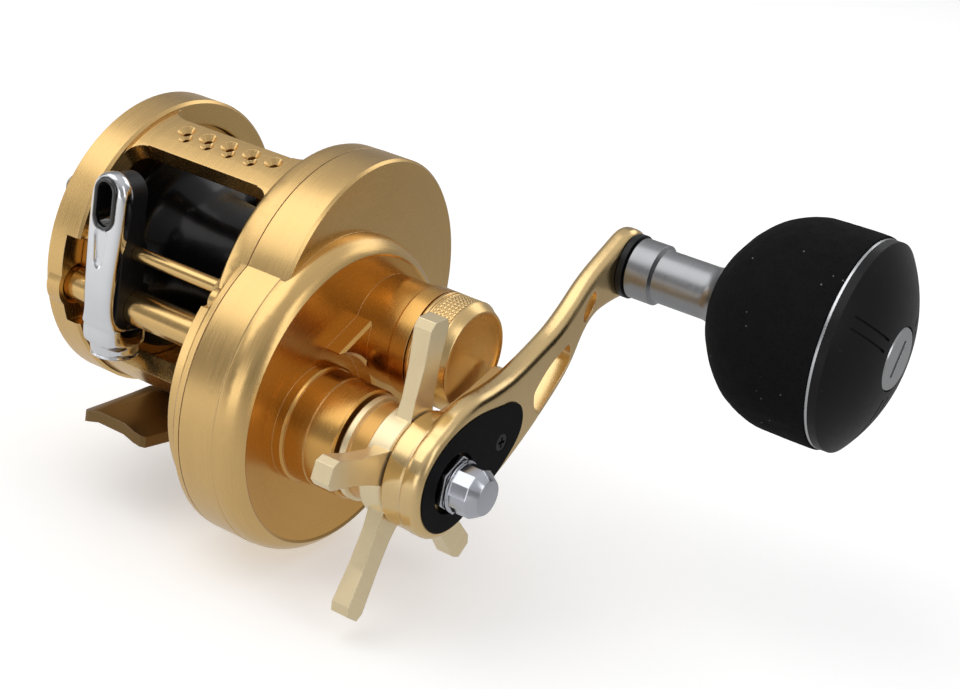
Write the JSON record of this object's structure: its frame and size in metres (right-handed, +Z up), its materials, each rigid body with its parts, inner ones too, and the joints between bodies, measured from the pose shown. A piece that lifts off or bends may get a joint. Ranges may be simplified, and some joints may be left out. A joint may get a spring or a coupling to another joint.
{
  "type": "baitcasting fishing reel",
  "caption": "Round-profile level-wind fishing reel with a machined frame, star drag, free-spool thumb bar and a power handle with a foam knob.",
  "frame": {"origin": "middle of the foot's underside, where the reel sits on the rod", "axes": "+X along the spool axis towards the crank, -Y the side the line leaves by, +Z up, away from the foot"},
  "size_m": [0.1209, 0.0848, 0.0627],
  "materials": {
    "black_gloss": "moulded, gloss",
    "black_plastic": "moulded, satin",
    "black_spool": "black anodised, gloss",
    "brass": "turned",
    "carbon": "woven carbon friction disc",
    "ceramic_black": "polished ring",
    "chrome_guide": "polished",
    "foam_black": "EVA foam, matte with fine pale specks",
    "gold_bright": "gold anodised with polished edges",
    "gold_deep": "darker orange-gold anodised",
    "gold_frame": "gold anodised, brushed round the axis",
    "o_ring": "nitrile",
    "silver_metal": "satin silver",
    "steel": "ground stainless"
  },
  "bodies": {
    "frame_body": {"frame": "gold_frame", "palm_side_plate": "gold_frame", "palm_plate_screws": "steel", "bearing_carrier": "gold_deep", "spool_bearing_left": "steel", "brake_race": "steel", "side_cover": "gold_frame", "side_cover_screws": "steel", "spool_bearing_right": "steel", "one_way_bearing": "steel", "drive_shaft_bearing": "brass", "cap_o_ring": "o_ring", "level_wind_tube": "gold_bright", "worm_bushings": "brass", "guide_rod": "gold_bright", "reel_foot": "gold_frame", "foot_screws": "steel", "yoke_posts": "steel", "yoke_springs": "steel"},
    "spool_body": {"spool": "black_spool", "spool_shaft": "steel", "spool_pin": "steel", "brake_hub": "black_plastic", "brake_blocks": "black_plastic"},
    "crank_body": {"drive_shaft": "steel", "main_gear": "brass", "level_wind_gear": "black_plastic", "drag_washers": "carbon", "drag_plates": "steel", "pressure_plate": "steel", "spring_washers": "steel", "clutch_sleeve": "steel", "handle_arm": "gold_bright", "handle_insert": "black_gloss", "insert_screw": "black_plastic", "handle_nut": "chrome_guide", "nut_cap": "chrome_guide", "knob_shaft": "steel", "knob_washer": "black_plastic"},
    "star_body": {"star_drag": "gold_bright"},
    "knob_body": {"knob_core": "silver_metal", "knob_bearings": "steel", "knob_grip": "foam_black", "knob_ring": "silver_metal", "knob_cap": "black_gloss", "knob_cap_screw": "silver_metal"},
    "tension_cap_body": {"tension_cap": "gold_deep", "tension_shims": "brass"},
    "worm_body": {"worm_shaft": "steel", "worm_gear": "brass"},
    "line_guide_body": {"line_guide_body": "black_plastic", "line_guide_cover": "chrome_guide", "line_eye": "ceramic_black", "guide_pawl": "steel", "pawl_cap": "chrome_guide"},
    "thumb_bar_body": {"thumb_bar": "black_plastic"},
    "clutch_cam_body": {"clutch_cam": "steel"},
    "yoke_body": {"yoke": "brass"},
    "pinion_body": {"pinion": "brass"}
  },
  "joints": [
    {"name": "handle_turn", "type": "hinge", "parent": "frame_body", "child": "crank_body", "pos_m": [0.0425, -0.015, 0.0102], "axis": [1, 0, 0], "continuous": true},
    {"name": "spool_spin", "type": "hinge", "parent": "frame_body", "child": "spool_body", "pos_m": [0.0025, 0, 0.022], "axis": [1, 0, 0], "continuous": true},
    {"name": "worm_spin", "type": "hinge", "parent": "frame_body", "child": "worm_body", "pos_m": [0.0025, -0.0195, 0.0182], "axis": [1, 0, 0], "continuous": true},
    {"name": "guide_travel", "type": "slide", "parent": "frame_body", "child": "line_guide_body", "axis": [1, 0, 0], "range_m": [-0.0023, 0.0167]},
    {"name": "star_turn", "type": "hinge", "parent": "crank_body", "child": "star_body", "pos_m": [0.0445, -0.015, 0.0102], "axis": [1, 0, 0], "range_deg": [-180, 180]},
    {"name": "knob_spin", "type": "hinge", "parent": "crank_body", "child": "knob_body", "pos_m": [0.0775, 0.0305, 0.03323], "axis": [1, 0, 0], "continuous": true},
    {"name": "tension_turn", "type": "hinge", "parent": "frame_body", "child": "tension_cap_body", "pos_m": [0.0425, 0, 0.022], "axis": [1, 0, 0], "range_deg": [-270, 90]},
    {"name": "thumb_press", "type": "slide", "parent": "frame_body", "child": "thumb_bar_body", "axis": [0, 0, -1], "range_m": [0, 0.004]},
    {"name": "cam_turn", "type": "hinge", "parent": "frame_body", "child": "clutch_cam_body", "pos_m": [0.02, 0, 0.022], "axis": [1, 0, 0], "range_deg": [-13, 0]},
    {"name": "yoke_slide", "type": "slide", "parent": "frame_body", "child": "yoke_body", "axis": [1, 0, 0], "range_m": [0, 0.00122]},
    {"name": "pinion_spin", "type": "hinge", "parent": "yoke_body", "child": "pinion_body", "pos_m": [0.0225, 0, 0.022], "axis": [1, 0, 0], "continuous": true}
  ],
  "couplings": [
    {"joint": "spool_spin", "follows": "handle_turn", "ratio": -5.1},
    {"joint": "pinion_spin", "follows": "handle_turn", "ratio": -5.1},
    {"joint": "worm_spin", "follows": "handle_turn", "ratio": -2},
    {"joint": "cam_turn", "follows": "thumb_press", "rad_per_m": -55.55},
    {"joint": "yoke_slide", "follows": "thumb_press", "ratio": 0.3}
  ]
}
